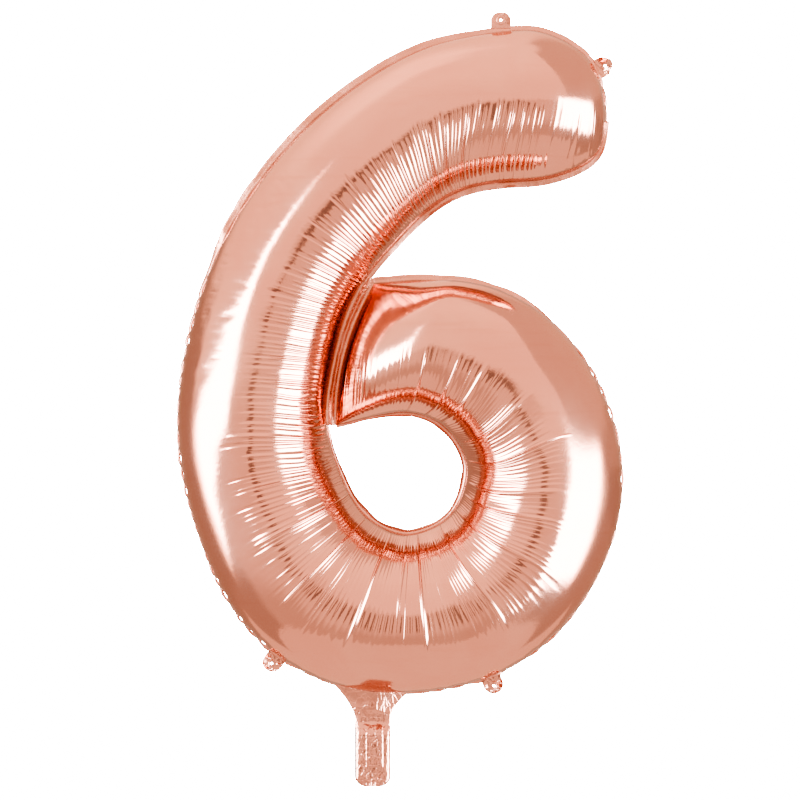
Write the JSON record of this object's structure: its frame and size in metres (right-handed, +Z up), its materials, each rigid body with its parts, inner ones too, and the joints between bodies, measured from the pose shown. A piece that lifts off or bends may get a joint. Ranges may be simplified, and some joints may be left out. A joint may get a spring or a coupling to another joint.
{
  "type": "foil number balloon",
  "caption": "Inflated foil balloon shaped as the digit six, with a sealed edge, hanging tabs that fold, and a filling neck with a flap valve.",
  "frame": {"origin": "centre of the top hanging tab's eyelet, in the seam plane, which the balloon hangs from", "axes": "+Z up the digit, the digit reads upright from -Y, +X to the reader's right, seam plane is XZ"},
  "size_m": [0.5157, 0.1874, 0.882],
  "materials": {
    "foil": "mirror-bright rose-gold metallised film",
    "foil_seal": "rose-gold film, heat-sealed and slightly dulled",
    "foil_neck": "rose-gold film, creased",
    "valve_film": "clear thin film"
  },
  "bodies": {
    "balloon": {"front_panel": "foil", "rear_panel": "foil", "outer_seal": "foil_seal", "hole_seal": "foil_seal", "junction_weld": "foil_seal", "flare_front": "foil_neck", "flare_rear": "foil_neck", "valve_inlet_front": "valve_film", "valve_inlet_rear": "valve_film"},
    "neck": {"neck_front": "foil_neck", "neck_rear": "foil_neck"},
    "flap_front": {"valve_flap_front": "valve_film"},
    "flap_rear": {"valve_flap_rear": "valve_film"},
    "top_tab": {"tab_top": "foil_seal"},
    "nose_tab": {"tab_nose": "foil_seal"},
    "lower_left_tab": {"tab_lower_left": "foil_seal"},
    "lower_right_tab": {"tab_lower_right": "foil_seal"}
  },
  "joints": [
    {"name": "neck_fold", "type": "hinge", "parent": "balloon", "child": "neck", "pos_m": [-0.146, 0, -0.797], "axis": [1, 0, 0], "range_deg": [-85, 85]},
    {"name": "flap_front_open", "type": "slide", "parent": "neck", "child": "flap_front", "axis": [0, -1, 0], "range_m": [0, 0.0025]},
    {"name": "flap_rear_open", "type": "slide", "parent": "neck", "child": "flap_rear", "axis": [0, 1, 0], "range_m": [0, 0.0025]},
    {"name": "top_tab_fold", "type": "hinge", "parent": "balloon", "child": "top_tab", "pos_m": [0, 0, -0.0065], "axis": [1, 0, 0], "range_deg": [-90, 90]},
    {"name": "nose_tab_fold", "type": "hinge", "parent": "balloon", "child": "nose_tab", "pos_m": [0.11301, 0, -0.05479], "axis": [-0.4435, 0, 0.8963], "range_deg": [-90, 90]},
    {"name": "lower_left_tab_fold", "type": "hinge", "parent": "balloon", "child": "lower_left_tab", "pos_m": [-0.25748, 0, -0.72817], "axis": [0.8062, 0, -0.5916], "range_deg": [-90, 90]},
    {"name": "lower_right_tab_fold", "type": "hinge", "parent": "balloon", "child": "lower_right_tab", "pos_m": [-0.01038, 0, -0.75257], "axis": [0.9306, 0, 0.3661], "range_deg": [-90, 90]}
  ],
  "couplings": [
    {"joint": "flap_rear_open", "follows": "flap_front_open", "ratio": 1}
  ]
}
